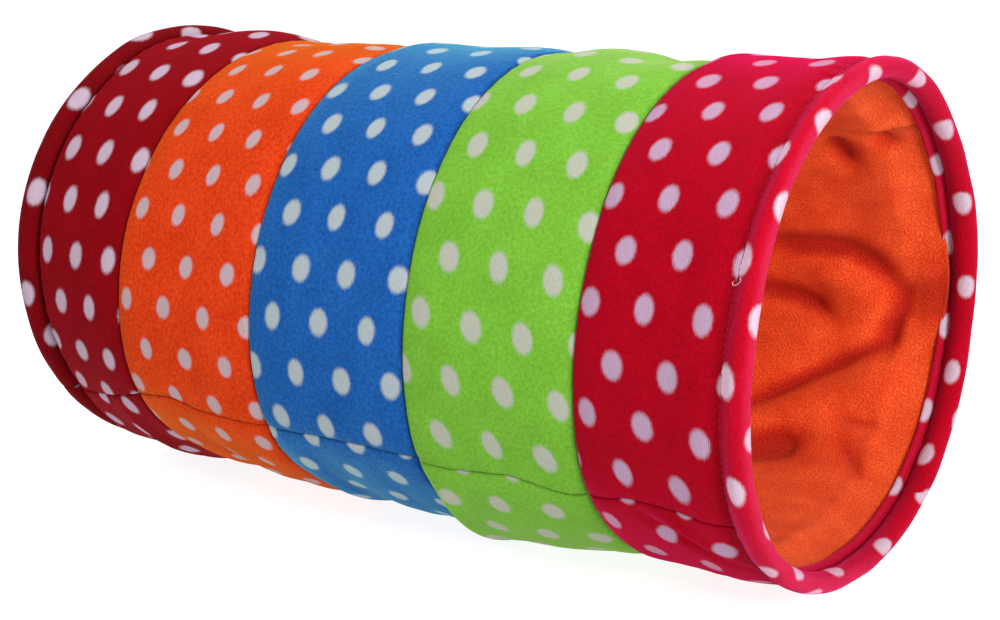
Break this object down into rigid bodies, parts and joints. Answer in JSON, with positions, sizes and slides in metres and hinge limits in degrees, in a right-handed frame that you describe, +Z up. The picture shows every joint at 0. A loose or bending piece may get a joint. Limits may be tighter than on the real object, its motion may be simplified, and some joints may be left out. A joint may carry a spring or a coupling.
{
  "type": "pet play tunnel",
  "caption": "Soft open-ended play tunnel for small pets: polka-dot fleece bands sewn into a tube on sprung end hoops, folding up lengthwise for storage.",
  "frame": {"origin": "on the floor, under the middle of the tunnel", "axes": "+X along the tunnel towards its crimson mouth, +Z up"},
  "size_m": [0.5, 0.3283, 0.2896],
  "materials": {
    "crimson_fleece": "brushed knit fleece, crimson with white polka dots",
    "green_fleece": "brushed knit fleece, lime green with off-white polka dots",
    "blue_fleece": "brushed knit fleece, blue with white polka dots",
    "orange_fleece": "brushed knit fleece, orange with white polka dots",
    "dark_red_fleece": "brushed knit fleece, dark red with white polka dots",
    "lining_fleece": "plain orange pilled micro fleece",
    "wadding": "white polyester wadding",
    "crackle_film": "thin clear crackle film",
    "spring_steel": "drawn spring steel wire",
    "crimped_sleeve": "plain crimped sleeve"
  },
  "bodies": {
    "near_end": {"panel_crimson": "crimson_fleece", "hoop_near": "spring_steel", "ferrule_near": "crimped_sleeve", "hem_wadding_near": "wadding", "lining": "lining_fleece", "body_wadding": "wadding", "crackle_film": "crackle_film"},
    "green_band": {"panel_green": "green_fleece"},
    "blue_band": {"panel_blue": "blue_fleece"},
    "orange_band": {"panel_orange": "orange_fleece"},
    "far_end": {"panel_dark_red": "dark_red_fleece", "hoop_far": "spring_steel", "ferrule_far": "crimped_sleeve", "hem_wadding_far": "wadding"}
  },
  "joints": [
    {"name": "green_band_slide", "type": "slide", "parent": "near_end", "child": "green_band", "axis": [1, 0, 0], "range_m": [0, 0.0664], "deforming": ["panel_crimson", "lining", "body_wadding", "crackle_film"]},
    {"name": "blue_band_slide", "type": "slide", "parent": "green_band", "child": "blue_band", "axis": [1, 0, 0], "range_m": [0, 0.08], "deforming": ["panel_green"]},
    {"name": "orange_band_slide", "type": "slide", "parent": "blue_band", "child": "orange_band", "axis": [1, 0, 0], "range_m": [0, 0.08], "deforming": ["panel_blue"]},
    {"name": "far_end_slide", "type": "slide", "parent": "orange_band", "child": "far_end", "axis": [1, 0, 0], "range_m": [0, 0.1464], "deforming": ["panel_orange", "panel_dark_red"]}
  ],
  "couplings": [
    {"joint": "blue_band_slide", "follows": "green_band_slide", "ratio": 1.2048},
    {"joint": "orange_band_slide", "follows": "green_band_slide", "ratio": 1.2048},
    {"joint": "far_end_slide", "follows": "green_band_slide", "ratio": 2.2048}
  ]
}
